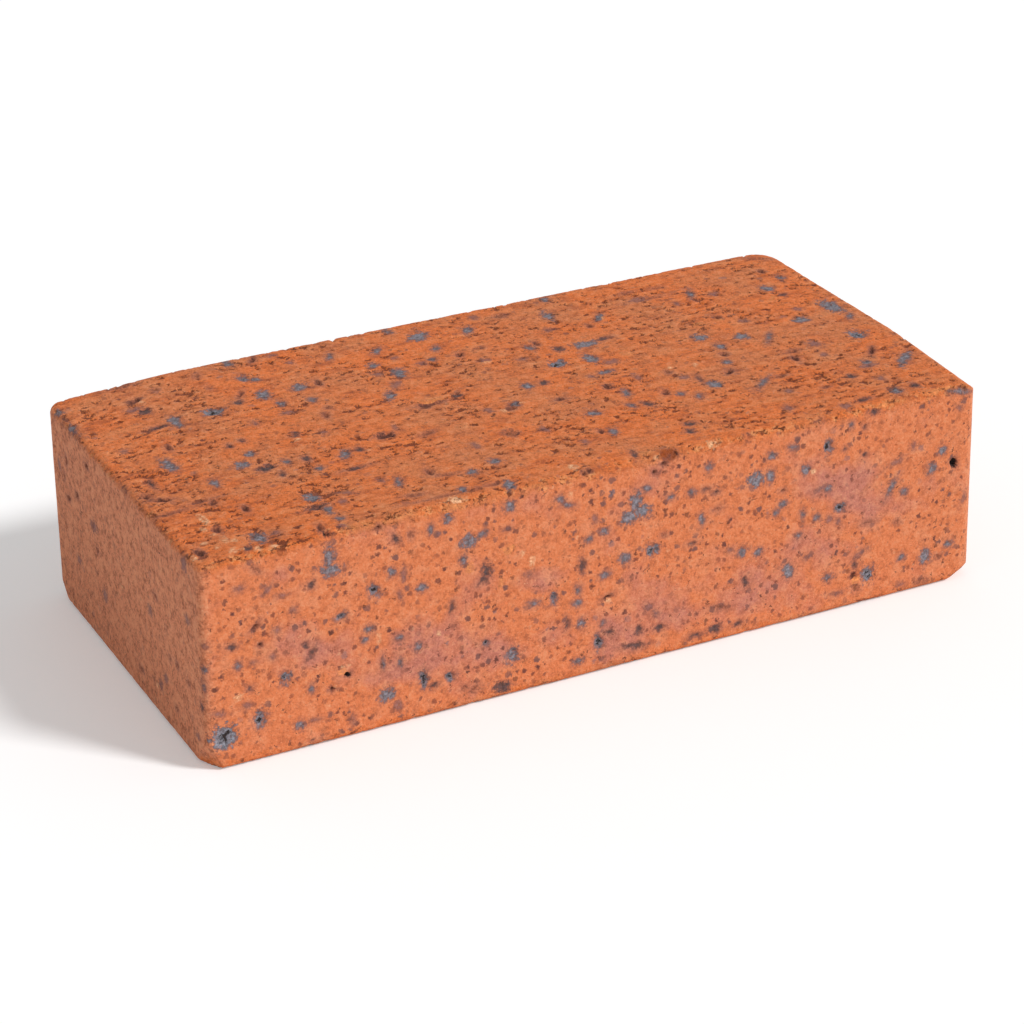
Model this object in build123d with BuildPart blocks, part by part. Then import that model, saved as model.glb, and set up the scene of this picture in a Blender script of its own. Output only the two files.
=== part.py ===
from build123d import *
from math import copysign
import os

# A solid clay brick with no frog and no cores. The clay is pushed through a die with
# rounded corners and cut to height by a wire, then dried and fired.
# It lies on its lower bed face. The origin is the middle of that face, at floor level,
# +X runs along the length and +Z up. The front stretcher face looks along -Y.

# Fired size, in millimetres. The length is taken half way up the headers
length = 230.0
width = 114.0
height = 60.0

# The green brick slumped on its foot: each header leans in by this much from foot to top
left_header_lean = 0.8
right_header_lean = 1.0

# Rounding of the die's corners, which had worn unevenly
front_left_corner_radius = 2.2
front_right_corner_radius = 5.0
back_left_corner_radius = 5.0
back_right_corner_radius = 8.0

# Rounding of the arrises that the wire leaves
top_arris_radius = 2.0
bottom_arris_radius = 2.0

# The upper bed face falls away towards the left header, where the wire left the clay:
# by how much, over what length, and how softly the fall begins
sag_depth = 2.0
sag_run = 36.0
sag_bend_radius = 200.0

# Corners knocked off in handling: how far each break reaches along the length, along the
# width and along the height
back_left_foot_break = (7.0, 10.0, 9.0)
front_left_foot_break = (5.0, 9.0, 10.0)
front_right_foot_break = (10.0, 7.5, 5.5)
front_right_top_break = (4.5, 60.0, 3.5)

# A shell-shaped spall out of the upper front arris: the radius of the shell, how far it
# bites in from the sharp line of the arris, and where it lies from the middle of the length
spall_radius = 2.6
spall_bite = 2.4
spall_place = 17.0

# The foot is centred on the origin, and longer than the length by half the two leans
foot_end = (length + (left_header_lean + right_header_lean) / 2) / 2
left_top = left_header_lean - foot_end
right_top = foot_end - right_header_lean


def break_corner(x, y, z, reaches):
    """Cut off a corner on the plane through one point on each of its three edges."""
    along, across, deep = reaches
    up_or_down = copysign(1 / deep, z - height / 2)
    start = Vector(x - copysign(along, x), y, z)
    outward = Vector(copysign(1 / along, x), copysign(1 / across, y), up_or_down)
    split(bisect_by=Plane(origin=start, z_dir=outward), keep=Keep.BOTTOM)


with BuildPart() as brick:
    # Side view of the brick: upper bed face with its fall, left header, foot, right header
    with BuildSketch(Plane.XZ):
        with BuildLine():
            upper_bed = FilletPolyline(
                (right_top, height),
                (left_top + sag_run, height),
                (left_top, height - sag_depth),
                radius=sag_bend_radius,
            )
            Polyline(upper_bed @ 1, (-foot_end, 0), (foot_end, 0), upper_bed @ 0)
        make_face()
    extrude(amount=width / 2, both=True)

    # The die's corners, which run up from foot to top
    upright = brick.edges().filter_by_position(Axis.Z, height / 4, height * 3 / 4)
    front_left_corner, front_right_corner = upright.group_by(Axis.Y)[0].sort_by(Axis.X)
    back_left_corner, back_right_corner = upright.group_by(Axis.Y)[-1].sort_by(Axis.X)
    fillet(front_left_corner, front_left_corner_radius)
    fillet(front_right_corner, front_right_corner_radius)
    fillet(back_left_corner, back_left_corner_radius)
    fillet(back_right_corner, back_right_corner_radius)

    # Arrises all round the upper and the lower bed face
    fillet(brick.edges().filter_by_position(Axis.Z, height * 3 / 4, height), top_arris_radius)
    fillet(brick.edges().group_by(Axis.Z)[0], bottom_arris_radius)

    # Corners knocked off in handling
    break_corner(-foot_end, width / 2, 0, back_left_foot_break)
    break_corner(-foot_end, -width / 2, 0, front_left_foot_break)
    break_corner(foot_end, -width / 2, 0, front_right_foot_break)
    break_corner(right_top, -width / 2, height, front_right_top_break)

    # The spall, cut by a ball whose centre lies out on the diagonal of the arris
    stand_off = (spall_radius - spall_bite) / 2**0.5
    with Locations((spall_place, -width / 2 - stand_off, height + stand_off)):
        Sphere(spall_radius, mode=Mode.SUBTRACT)

brick.part.label = "brick"

os.makedirs("parts", exist_ok=True)
export_step(brick.part, "parts/brick.step")
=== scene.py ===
import math
import random

import bmesh
import bpy
import numpy as np
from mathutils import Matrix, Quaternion, Vector


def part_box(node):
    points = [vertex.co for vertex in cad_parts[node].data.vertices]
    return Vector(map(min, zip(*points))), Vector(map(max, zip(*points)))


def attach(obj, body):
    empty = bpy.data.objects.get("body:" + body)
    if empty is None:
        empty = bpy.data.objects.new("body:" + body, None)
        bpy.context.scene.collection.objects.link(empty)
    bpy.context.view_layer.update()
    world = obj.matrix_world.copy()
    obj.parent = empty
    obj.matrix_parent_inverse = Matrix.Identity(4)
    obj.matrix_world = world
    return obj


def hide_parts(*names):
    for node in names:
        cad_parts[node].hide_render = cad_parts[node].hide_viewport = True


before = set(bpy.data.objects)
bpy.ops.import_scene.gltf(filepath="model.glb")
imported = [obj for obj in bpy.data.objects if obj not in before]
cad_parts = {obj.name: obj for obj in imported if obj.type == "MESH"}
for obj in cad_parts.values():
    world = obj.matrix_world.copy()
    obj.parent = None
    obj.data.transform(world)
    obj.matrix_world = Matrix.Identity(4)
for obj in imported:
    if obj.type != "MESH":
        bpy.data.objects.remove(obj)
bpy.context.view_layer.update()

MM = 0.001

# The brick's box comes from the solid in model.glb. The rest of its form repeats the solid's sizes,
# in mm
low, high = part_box("brick")
half_width = high.y / MM
height = high.z / MM
foot_end = 115.45
left_header_lean = 0.8
right_header_lean = 1.0
top_arris_radius = 2.0
bottom_arris_radius = 2.0
sag_depth = 2.0
sag_run = 36.0
sag_bend_radius = 200.0
left_top = left_header_lean - foot_end
right_top = foot_end - right_header_lean
sag_start = left_top + sag_run

# The die's corners: side along X, side along Y, radius
die_corners = ((-1, -1, 2.2), (1, -1, 5.0), (-1, 1, 5.0), (1, 1, 8.0))

# Corners knocked off: the corner's X, Y and Z, and the break's reach along, across and deep
broken_corners = (
    (-foot_end, half_width, 0.0, 7.0, 10.0, 9.0),
    (-foot_end, -half_width, 0.0, 5.0, 9.0, 10.0),
    (foot_end, -half_width, 0.0, 10.0, 7.5, 5.5),
    (right_top, -half_width, height, 4.5, 60.0, 3.5),
)

# The shell spalled off the upper front arris, cut by a ball out on the diagonal of the arris
spall_radius = 2.6
spall_bite = 2.4
spall_off = (spall_radius - spall_bite) / math.sqrt(2)
spall_middle = np.array((17.0, -half_width - spall_off, height + spall_off))

# Size of the mesh that carries the relief, in mm, and the faces kept of it
clay_grain = 0.55
kept_faces = 195000

# Camera, read off the outline of the brick in the picture: degrees and mm
camera_azimuth = -26.34
camera_elevation = 26.06
camera_roll = -0.92
camera_distance = 838.5
camera_aim = (-0.81, 0.0, 22.48)
focal_length = 106.0
sensor_width = 36.0

# Studio: where the lamp stands, its strength and its spread in radians, the light of the white
# room, how much of the light the floor's paper gives back, and its glow where it is seen
lamp_direction = (0.48, -0.57, 0.67)
lamp_strength = 2.35
lamp_spread = 0.2
room_light = 0.43
paper_white = 0.86
paper_glow = 0.22

# What a mark in the clay can be: its colour, how strongly it covers the clay, how whole it
# is, how much of its reach is a black hole, and how deep it lies in mm, less than 0 for a
# grain that stands up. The black of a hole is painted shadow, and a pit's dark brown is
# partly painted shade in its hollow
mark_kinds = {
    "iron": ("85838C", 0.95, 0.90, 0.0, 0.10),
    "pitted": ("868994", 0.95, 0.90, 0.20, 0.60),
    "dark": ("4C4144", 0.92, 0.85, 0.0, 0.30),
    "faint": ("86666A", 0.62, 1.00, 0.0, 0.0),
    "hole": ("2A1510", 1.00, 1.00, 0.80, 1.80),
    "pit": ("5A2815", 0.95, 0.80, 0.0, 0.80),
    "brown": ("82431F", 0.85, 0.55, 0.0, 0.30),
    "cream": ("ECB488", 0.90, 0.56, 0.0, -0.20),
    "ochre": ("E08B52", 0.80, 0.60, 0.0, -0.20),
}

# Marks on the front stretcher: X, Z, length, height and degrees turned, in mm
stretcher_marks = {
    "pitted": (
        (-110.2, 9.6, 7.0, 6.5, 0), (-100.6, 12.1, 3.6, 5.0, 0), (-93.1, 22.0, 3.5, 4.0, 0),
        (-55.1, 11.7, 2.4, 5.0, 0), (-47.6, 10.4, 3.2, 2.8, 0), (-29.8, 12.1, 4.0, 4.6, 0),
        (-68.0, 40.4, 3.0, 4.0, 30), (-77.2, 35.4, 3.2, 2.4, 0), (-17.3, 25.8, 2.4, 3.4, 0),
        (12.1, 32.8, 4.2, 3.4, 25), (65.9, 50.8, 2.8, 4.0, 0), (70.3, 31.6, 3.4, 3.0, 0),
        (80.1, 8.6, 4.8, 4.8, 0), (-37.1, 17.6, 2.0, 2.0, 0), (-4.1, 9.4, 2.8, 5.0, 10),
    ),
    "iron": (
        (-89.5, 7.6, 3.0, 3.0, 0), (-86.2, 17.2, 1.6, 2.2, 0), (-65.6, 9.8, 4.6, 4.6, 0),
        (-79.7, 52.7, 2.8, 6.0, 0), (-79.3, 49.2, 6.0, 3.5, 0), (-41.3, 48.2, 4.6, 3.6, 10),
        (-37.7, 49.2, 3.4, 1.6, 15), (-43.0, 43.3, 2.0, 2.5, 0), (-62.9, 44.5, 2.2, 2.6, 0),
        (-54.7, 38.0, 2.5, 2.3, 0), (-69.9, 30.0, 2.8, 2.3, 0), (-71.1, 27.3, 1.6, 1.6, 0),
        (-114.9, 29.7, 2.6, 2.8, 0), (-115.2, 26.2, 1.2, 2.8, 0), (-105.5, 28.7, 1.6, 2.4, 0),
        (-46.9, 56.0, 2.9, 2.6, 0), (-29.8, 55.5, 2.9, 3.4, 0), (-15.2, 53.9, 1.8, 2.4, 40),
        (-12.9, 51.8, 3.2, 1.5, -15), (-2.3, 41.8, 3.0, 2.2, 0), (-6.9, 40.4, 2.4, 1.7, 0),
        (-2.2, 28.9, 2.8, 1.9, 0), (-23.0, 25.6, 3.2, 1.8, 0), (-10.0, 26.5, 1.6, 2.8, 0),
        (-10.3, 22.6, 2.6, 2.2, 0), (-9.2, 16.6, 2.6, 2.4, 0), (-61.3, 25.5, 2.2, 1.6, 0),
        (-61.6, 18.2, 1.5, 2.8, 0), (-66.2, 19.5, 1.1, 3.0, 0), (-56.3, 21.4, 2.0, 2.6, 0),
        (7.2, 47.6, 3.6, 6.0, 0), (5.8, 44.2, 5.6, 3.8, 10), (8.8, 45.0, 5.6, 4.0, -20),
        (10.2, 51.3, 2.4, 1.9, 0), (17.6, 46.9, 2.3, 1.7, 0), (23.8, 46.9, 2.5, 1.7, 0),
        (28.7, 53.1, 1.9, 2.4, 0), (43.1, 46.1, 5.2, 4.5, 0), (48.0, 46.5, 2.5, 3.9, 0),
        (48.3, 52.1, 2.8, 2.1, 0), (54.7, 53.1, 2.5, 1.9, 0), (59.0, 45.5, 2.6, 3.1, 0),
        (66.2, 38.3, 2.6, 2.5, 0), (52.1, 36.9, 2.4, 2.1, 0), (50.0, 34.8, 2.1, 1.7, 30),
        (27.0, 38.3, 1.9, 2.7, 0), (3.8, 32.4, 3.2, 2.9, 0), (39.5, 25.8, 2.5, 2.9, 0),
        (44.7, 24.4, 2.7, 2.3, 0), (63.1, 30.5, 2.1, 1.9, 0), (57.4, 26.3, 1.9, 1.7, 0),
        (86.7, 34.0, 6.4, 1.8, 58), (90.8, 31.9, 2.3, 2.1, 0), (99.6, 36.7, 2.8, 3.6, 0),
        (102.7, 41.5, 2.5, 2.7, 0), (54.3, 16.4, 3.4, 4.8, 20), (67.2, 11.1, 3.2, 2.3, 0),
        (98.8, 9.8, 3.6, 4.6, 0), (106.6, 12.1, 2.8, 2.3, 0), (91.0, 11.7, 2.1, 1.9, 0),
        (107.4, 58.4, 8.5, 1.7, -17), (-2.7, 14.8, 1.5, 1.7, 0), (73.0, 55.8, 1.5, 1.9, 0),
        (58.4, 32.4, 1.4, 2.7, 0), (-10.0, 5.2, 3.0, 2.0, 0), (-51.8, 54.1, 1.7, 2.3, 0),
    ),
    "dark": (
        (-52.3, 9.0, 3.2, 1.8, 0), (-32.8, 3.7, 4.6, 3.2, -15), (-36.3, 38.6, 3.2, 4.4, 0),
        (-37.4, 36.3, 3.6, 1.9, 30), (-87.1, 30.0, 1.7, 1.8, 0), (-85.5, 27.3, 3.6, 1.6, 60),
        (-107.0, 34.4, 3.0, 1.7, 0), (-102.7, 21.5, 1.7, 1.8, 0), (-8.8, 33.2, 1.8, 3.8, 0),
        (-13.3, 17.4, 1.6, 3.2, 0), (-46.5, 30.5, 1.4, 2.8, -10), (-61.3, 53.5, 2.0, 3.0, 30),
        (-84.8, 46.5, 2.4, 1.8, 30), (40.6, 16.6, 1.9, 3.0, 20), (-0.8, 11.4, 3.8, 1.9, -15),
        (8.2, 9.8, 2.1, 2.6, 0), (14.5, 9.0, 3.2, 2.2, 0), (7.0, 5.5, 6.4, 1.7, -8),
        (31.6, 4.4, 3.6, 2.4, 0), (25.8, 3.9, 3.4, 1.2, 0), (38.7, 4.0, 2.8, 1.3, 0),
        (24.2, 31.8, 2.5, 1.3, 0), (28.1, 46.9, 2.2, 0.9, 0), (75.8, 12.9, 1.4, 2.1, 0),
        (80.1, 58.0, 3.0, 1.8, 0), (77.3, 54.3, 1.3, 1.3, 0), (71.2, 49.0, 1.1, 1.1, 0),
        (77.6, 45.8, 1.4, 1.4, 0), (31.3, 45.3, 1.6, 1.4, 0), (-66.6, 19.0, 0.9, 1.6, 0),
    ),
    "faint": (
        (-104.1, 50.0, 2.8, 1.7, 0), (-92.6, 45.3, 2.8, 1.2, 0), (-94.7, 36.0, 2.1, 2.1, 0),
        (-114.0, 36.5, 2.2, 1.7, 0), (-96.3, 28.9, 1.3, 1.7, 0), (-101.2, 28.9, 2.1, 1.1, 0),
        (-111.6, 16.6, 3.6, 1.6, -20), (-103.7, 17.0, 2.1, 1.7, 0), (-75.4, 5.1, 1.5, 3.0, 0),
        (-63.0, 6.0, 2.6, 3.2, 0), (-89.8, 40.6, 1.9, 2.5, 0), (-60.9, 37.5, 1.5, 2.7, 0),
        (-5.1, 45.7, 1.8, 2.2, 0), (35.9, 27.1, 1.9, 1.5, 0), (69.7, 27.7, 3.2, 1.5, -50),
        (66.8, 28.8, 2.2, 2.1, 0), (110.9, 25.4, 4.2, 1.6, 65), (77.3, 16.0, 5.0, 1.9, 30),
        (60.5, 19.1, 2.6, 1.5, 25), (10.9, 16.0, 2.5, 2.5, 0), (13.4, 13.5, 3.0, 2.0, -30),
        (91.0, 3.1, 2.6, 1.7, 0), (107.8, 53.5, 2.1, 1.7, 0), (93.4, 44.9, 2.1, 2.1, 0),
        (87.9, 41.4, 4.2, 1.5, 20), (64.0, 38.9, 4.0, 1.5, 15), (-86.0, 8.0, 4.0, 1.2, 0),
        (-59.9, 42.8, 1.6, 3.4, 0), (-50.0, 52.1, 1.5, 1.5, 0), (-96.5, 48.0, 3.4, 2.0, 40),
        (70.5, 5.5, 4.0, 1.6, 0), (-30.5, 49.0, 2.4, 1.4, 0), (-24.5, 34.3, 2.6, 1.2, -20),
    ),
    "hole": ((106.9, 36.9, 2.3, 3.0, 20), (-76.3, 18.6, 1.4, 1.4, 0)),
    "pit": (
        (-80.5, 15.6, 1.5, 1.4, 0), (-100.6, 38.3, 2.8, 1.1, 40), (-99.3, 33.0, 1.4, 1.2, 0),
        (-66.0, 57.8, 1.4, 1.2, 0), (15.5, 57.0, 2.0, 1.6, 0), (12.6, 55.2, 1.3, 1.6, 0),
        (52.0, 41.0, 1.2, 0.9, 0), (-1.5, 22.0, 2.8, 1.2, 20), (75.5, 9.5, 2.0, 2.6, 10),
    ),
    "brown": (
        (-99.6, 54.3, 3.0, 1.3, -40), (-57.4, 53.9, 1.7, 2.0, 0), (15.6, 36.3, 1.6, 1.2, 0),
        (31.6, 40.2, 2.5, 1.1, 0), (76.2, 5.8, 3.0, 2.4, -30), (98.0, 2.7, 2.7, 1.4, 0),
        (79.5, 25.0, 3.0, 1.0, 0), (89.0, 23.0, 1.8, 1.4, 0), (-40.5, 5.0, 2.6, 1.8, 0),
        (-43.5, 6.0, 1.8, 1.5, 0), (33.0, 10.5, 5.0, 1.4, -10), (103.1, 9.0, 2.4, 1.4, 0),
    ),
    "cream": (
        (-105.9, 20.0, 1.8, 1.8, 0), (-110.0, 9.8, 1.2, 1.2, 0), (-23.4, 37.9, 1.5, 3.0, 0),
        (-26.3, 41.0, 1.2, 1.3, 0), (-80.2, 15.9, 0.9, 0.8, 0), (-67.3, 26.7, 1.2, 2.0, 0),
        (-55.6, 20.4, 1.1, 1.2, 0), (61.3, 44.6, 1.8, 1.6, 0), (-12.2, 54.8, 1.0, 1.0, 0),
        (-1.3, 21.2, 1.6, 1.0, 0), (-77.0, 21.0, 1.8, 1.2, 0), (-50.4, 23.9, 1.2, 1.2, 0),
        (30.0, 59.5, 5.0, 1.8, 0), (14.0, 59.6, 3.0, 1.6, 0),
    ),
    "ochre": (
        (-30.1, 43.0, 3.0, 2.8, 0), (-41.0, 40.2, 2.3, 3.2, 0), (-32.4, 34.0, 1.3, 2.8, 0),
        (-77.4, 19.9, 2.4, 2.0, 0), (76.3, 8.0, 3.0, 2.4, 0), (-45.0, 58.8, 6.0, 2.4, 0),
    ),
}

# Marks on the upper bed: X, Y, length, depth and degrees turned
bed_marks = {
    "pitted": (
        (-62.1, 41.9, 3.6, 5.4, 15), (18.6, 9.9, 5.4, 5.4, 0), (103.1, -12.5, 5.4, 6.0, 0),
        (-77.7, 24.7, 5.8, 4.4, 0),
    ),
    "iron": (
        (-59.8, 39.6, 3.2, 3.0, 0), (-61.6, 28.6, 4.3, 6.0, 0), (-88.7, 24.7, 3.4, 7.0, 0),
        (-51.2, 28.6, 5.4, 3.6, 40), (-59.8, 21.2, 2.4, 3.4, 0), (-51.2, 18.9, 2.4, 3.4, 0),
        (-31.6, 11.4, 6.0, 3.0, 62), (-22.7, 24.7, 3.7, 6.2, 0), (-27.0, 32.9, 3.5, 3.7, 0),
        (-7.0, 45.4, 7.2, 5.0, 35), (-21.9, 41.5, 5.0, 2.4, 45), (-35.2, 44.2, 4.4, 2.3, 65),
        (-13.3, 53.2, 2.2, 3.8, 0), (-62.1, 52.8, 3.0, 3.8, 0), (-6.6, 34.9, 2.2, 3.5, -10),
        (-10.5, 28.6, 2.5, 2.5, 0), (-99.6, 0.6, 3.4, 8.0, 5), (-113.3, 48.9, 2.6, 3.8, 0),
        (-113.8, 37.0, 2.6, 6.5, 0), (7.2, 43.1, 5.2, 3.4, 55), (32.3, 41.5, 3.4, 6.8, -8),
        (37.1, 52.8, 2.6, 3.8, 0), (44.5, 33.3, 5.4, 2.4, 55), (76.4, 36.0, 6.8, 2.4, 72),
        (98.4, 29.4, 4.2, 4.4, 0), (106.6, 35.3, 2.6, 3.2, 0), (32.0, 17.8, 7.4, 4.6, 0),
        (17.2, 22.8, 2.9, 4.2, 0), (28.3, 8.3, 3.7, 7.6, 8), (62.5, 6.4, 4.2, 4.6, 0),
        (73.4, 1.7, 4.2, 4.2, 0), (94.5, 4.0, 4.2, 4.2, 0), (107.4, 8.3, 5.0, 10.0, 0),
        (4.2, -0.5, 2.9, 3.5, 0), (27.7, -2.3, 3.7, 2.7, 0), (64.5, -1.4, 2.8, 4.2, -15),
        (-83.6, -9.7, 4.0, 4.0, 0), (-79.3, -5.0, 2.8, 3.2, 30), (-72.7, -14.0, 2.2, 2.6, 0),
        (-57.4, -16.8, 5.4, 3.2, 60), (-66.6, -21.8, 2.5, 2.5, 0), (-75.4, -37.0, 4.2, 5.4, 0),
        (-74.8, -44.9, 2.6, 5.2, 0), (-95.3, -49.6, 4.2, 6.2, 0), (-52.3, -39.0, 5.0, 2.0, 70),
        (-74.1, -51.1, 2.0, 2.5, 0), (-33.2, -42.9, 3.2, 3.7, 0), (-25.4, -39.8, 2.9, 3.5, 0),
        (-28.1, -53.9, 3.6, 4.5, 0), (-39.8, -50.7, 2.3, 2.7, 0), (-3.9, -9.7, 3.0, 3.0, 0),
        (79.7, -2.7, 6.2, 1.4, 55), (60.2, -12.5, 2.8, 2.7, 0), (49.6, -23.8, 4.5, 5.2, 0),
        (25.8, -17.1, 2.3, 5.2, -15), (11.7, -25.3, 4.4, 3.0, 0), (23.0, -25.3, 1.9, 3.1, 0),
        (38.3, -25.0, 2.5, 2.7, 0), (41.8, -28.9, 3.7, 2.3, 60), (10.5, -38.2, 2.7, 3.7, 0),
        (61.7, -29.3, 8.2, 1.8, 40), (94.1, -30.8, 2.6, 3.2, 0), (105.0, -33.5, 10.5, 3.2, 47),
        (90.6, -51.0, 3.1, 4.5, 0), (108.2, -0.3, 4.2, 1.9, 60), (-93.4, -15.6, 2.5, 4.2, 0),
    ),
    "dark": (
        (-78.9, -14.8, 4.6, 3.4, 15), (-76.6, -42.5, 5.6, 2.4, 0), (-69.5, 27.0, 2.7, 2.6, 0),
        (-93.7, 24.0, 6.4, 1.9, 0), (-93.4, 35.7, 3.4, 4.0, 0), (23.8, 18.5, 3.1, 4.0, 0),
        (38.3, 18.9, 4.2, 1.9, 10), (9.2, -0.5, 2.6, 3.2, 0), (-76.6, -20.3, 1.7, 3.2, -15),
        (-58.6, -26.3, 6.0, 1.5, 5), (27.3, -26.5, 2.4, 4.0, 20), (48.0, -18.7, 1.5, 4.0, -10),
        (-64.1, 0.4, 2.0, 3.2, -20), (100.0, 23.2, 2.4, 2.4, 0), (-100.0, -53.3, 2.2, 2.6, 0),
        (8.6, -53.0, 1.9, 4.6, -15), (30.9, -43.3, 3.0, 2.2, 0), (28.5, -47.6, 2.7, 2.6, 0),
        (-15.2, 3.2, 2.7, 2.5, 20), (-67.6, -14.8, 2.3, 3.0, 0), (79.7, -51.9, 4.2, 1.7, 10),
        (-53.0, -16.0, 2.0, 2.8, 0), (-82.0, 2.5, 1.7, 2.5, 0), (-78.1, 3.6, 1.7, 2.0, 0),
        (-107.4, -7.0, 1.2, 4.0, 0), (85.2, -37.0, 2.4, 2.4, 0), (97.3, -50.3, 1.7, 3.0, 0),
    ),
    "faint": (
        (-95.3, 38.0, 5.2, 3.0, 0), (-60.2, 14.6, 4.0, 2.4, 0), (-70.7, 12.2, 1.7, 3.2, 0),
        (-27.3, 16.9, 5.4, 3.0, 60), (-28.1, 26.7, 3.2, 3.1, 0), (-49.4, 52.8, 3.2, 2.5, 0),
        (-46.5, 45.8, 2.1, 2.5, 0), (-14.4, 27.5, 3.2, 3.0, 0), (-19.5, 34.5, 2.5, 2.7, 0),
        (-106.6, 15.3, 2.6, 2.5, 0), (12.9, 50.5, 2.4, 3.7, -10), (32.6, 3.2, 5.2, 3.0, 0),
        (98.0, 11.4, 2.5, 2.5, 0), (1.6, 21.2, 3.5, 3.0, 0), (11.3, 16.5, 2.7, 2.5, 0),
        (27.7, 32.1, 3.7, 2.6, 0), (69.1, 31.4, 2.1, 3.1, 0), (82.4, 32.9, 4.1, 3.1, 0),
        (79.7, 11.4, 2.5, 2.9, 0), (-75.0, -55.0, 2.4, 2.2, 0), (-91.0, -50.0, 2.8, 2.1, 0),
        (-69.5, -42.7, 2.5, 2.9, 0), (-67.2, -38.2, 4.2, 1.6, -30), (-55.9, -36.3, 2.1, 3.1, 0),
        (-57.0, -1.5, 2.1, 3.1, 0), (-12.5, -10.0, 2.7, 3.1, 0), (-25.4, -28.9, 2.1, 3.1, 0),
        (-4.7, -28.0, 2.5, 3.1, 0), (-39.0, -8.2, 1.5, 3.1, -10), (88.3, -12.8, 4.1, 5.1, 0),
        (44.9, -15.6, 3.1, 3.1, 0), (33.6, -9.7, 2.5, 4.1, 0), (22.7, -3.1, 2.1, 2.5, 0),
        (93.4, -33.0, 5.6, 3.6, 0), (64.8, -37.8, 2.5, 2.5, 0), (91.4, -42.0, 2.1, 3.1, 0),
        (59.0, -47.0, 2.7, 4.1, -15), (73.0, -53.5, 3.7, 3.6, 0), (86.7, -20.7, 2.1, 2.5, 0),
        (0.8, -40.2, 2.1, 3.1, 0), (-110.9, -58.9, 1.7, 3.0, 0), (61.0, 39.6, 6.2, 3.0, 0),
    ),
    "hole": ((-79.8, -57.4, 2.4, 3.8, -10),),
    "pit": (
        (-67.2, 31.7, 4.2, 1.2, 55), (-45.3, 28.6, 1.6, 3.2, 0), (-2.7, 28.2, 1.9, 3.0, -15),
        (-96.1, 10.7, 1.3, 3.2, 0), (-93.4, 43.5, 4.2, 2.6, 20), (-55.0, 52.8, 4.2, 1.5, 60),
        (-24.0, 1.5, 7.5, 2.4, 0), (75.6, 32.1, 1.7, 2.2, 0), (19.9, 24.7, 1.5, 2.6, 0),
        (39.1, 29.0, 1.7, 2.1, 0), (103.9, 41.9, 2.1, 2.1, 0), (-43.8, -11.3, 5.4, 3.4, 0),
        (-80.6, -53.3, 1.3, 3.2, -15), (-110.8, -49.2, 2.1, 3.1, 0), (-111.3, -12.8, 2.2, 2.6, 0),
        (-108.6, -16.8, 5.0, 1.5, -30), (-102.7, -39.8, 2.1, 3.5, 0), (-97.7, -25.3, 1.7, 2.7, 0),
        (-92.2, -33.5, 1.5, 3.4, 0), (-6.3, -11.7, 3.0, 2.2, 20), (-7.8, -56.6, 1.7, 2.2, 0),
        (62.5, -7.0, 2.4, 2.6, 30), (35.2, -22.2, 2.0, 3.4, -15), (57.4, -18.3, 3.4, 2.2, 40),
        (78.1, -19.5, 1.5, 3.1, 0), (23.4, -11.3, 2.4, 3.1, 0), (7.8, -12.8, 2.9, 1.4, 0),
        (74.2, 16.9, 1.7, 2.4, 30), (-43.0, -37.8, 1.5, 3.1, 0), (41.0, -58.0, 2.2, 4.5, -10),
        (62.9, -58.6, 4.0, 3.6, 30), (18.0, -58.0, 4.0, 5.0, -15), (-5.9, -55.8, 1.6, 1.6, 0),
        (7.8, -36.3, 1.7, 2.1, 0), (-52.0, 8.0, 1.3, 3.2, -10), (100.0, -24.5, 5.2, 1.5, 55),
    ),
    "brown": (
        (-93.4, 54.4, 6.0, 2.2, 0), (19.9, 48.0, 4.2, 2.4, 0), (-44.0, -52.0, 13.5, 0.9, 0),
        (-31.3, -51.9, 4.2, 1.5, 0), (-13.7, -26.0, 4.0, 5.0, 0), (-33.2, -15.6, 4.2, 1.7, 15),
        (-26.2, 0.4, 4.2, 2.6, 0), (-99.0, -23.2, 5.2, 1.0, 0), (-109.0, -25.0, 6.2, 0.8, 0),
        (-52.0, -48.0, 4.2, 1.6, -10), (80.1, -14.4, 4.2, 1.7, 0), (68.8, -27.7, 3.2, 1.4, 0),
        (-49.6, 12.2, 2.1, 2.1, 0), (75.0, -40.2, 2.2, 1.6, 0), (42.6, -10.5, 1.7, 2.2, 0),
        (-40.0, -41.0, 4.6, 1.2, -15), (108.2, 51.3, 6.2, 1.5, -35), (63.0, 39.0, 9.0, 1.4, 0),
        (5.0, 29.5, 2.6, 1.5, 0), (60.0, 46.0, 3.0, 1.2, 0), (70.0, 45.0, 3.0, 1.4, 0),
        (-73.0, 49.5, 1.5, 3.0, -20), (-86.0, 47.0, 2.0, 2.0, 0), (-72.8, 40.2, 1.6, 2.0, 0),
    ),
    "cream": (
        (-103.3, -33.0, 2.0, 6.5, 0), (-103.0, -45.7, 1.5, 3.2, 0), (-65.0, -3.0, 2.7, 2.0, 0),
        (-9.0, -12.2, 1.6, 1.6, 0), (-2.6, -10.0, 1.6, 1.2, 0), (-9.4, -52.7, 2.4, 3.6, 0),
        (44.5, -8.2, 1.2, 1.2, 0), (51.6, -9.6, 1.2, 2.2, -20), (-92.0, 41.0, 1.3, 2.4, 0),
        (30.0, -56.6, 4.2, 3.0, 0), (15.0, -57.0, 3.0, 2.6, 0), (45.0, 32.6, 1.3, 2.2, -35),
        (1.6, 19.6, 2.2, 1.0, 0), (-44.1, -55.4, 5.0, 3.4, 0), (-113.2, -50.5, 1.6, 2.4, 0),
        (-103.5, -52.5, 1.6, 3.0, -20), (-101.0, -48.0, 1.6, 2.0, 0), (-105.5, -38.0, 1.4, 2.4, 0),
        (-100.5, -53.0, 2.4, 1.6, 0), (-97.6, -55.0, 2.0, 1.6, 0), (-104.5, -42.0, 1.8, 1.6, 0),
        (-106.0, -49.0, 1.2, 2.2, 0), (-108.0, -45.0, 1.6, 1.2, 0), (-94.0, -56.0, 2.6, 1.4, 0),
    ),
    "ochre": (
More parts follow.
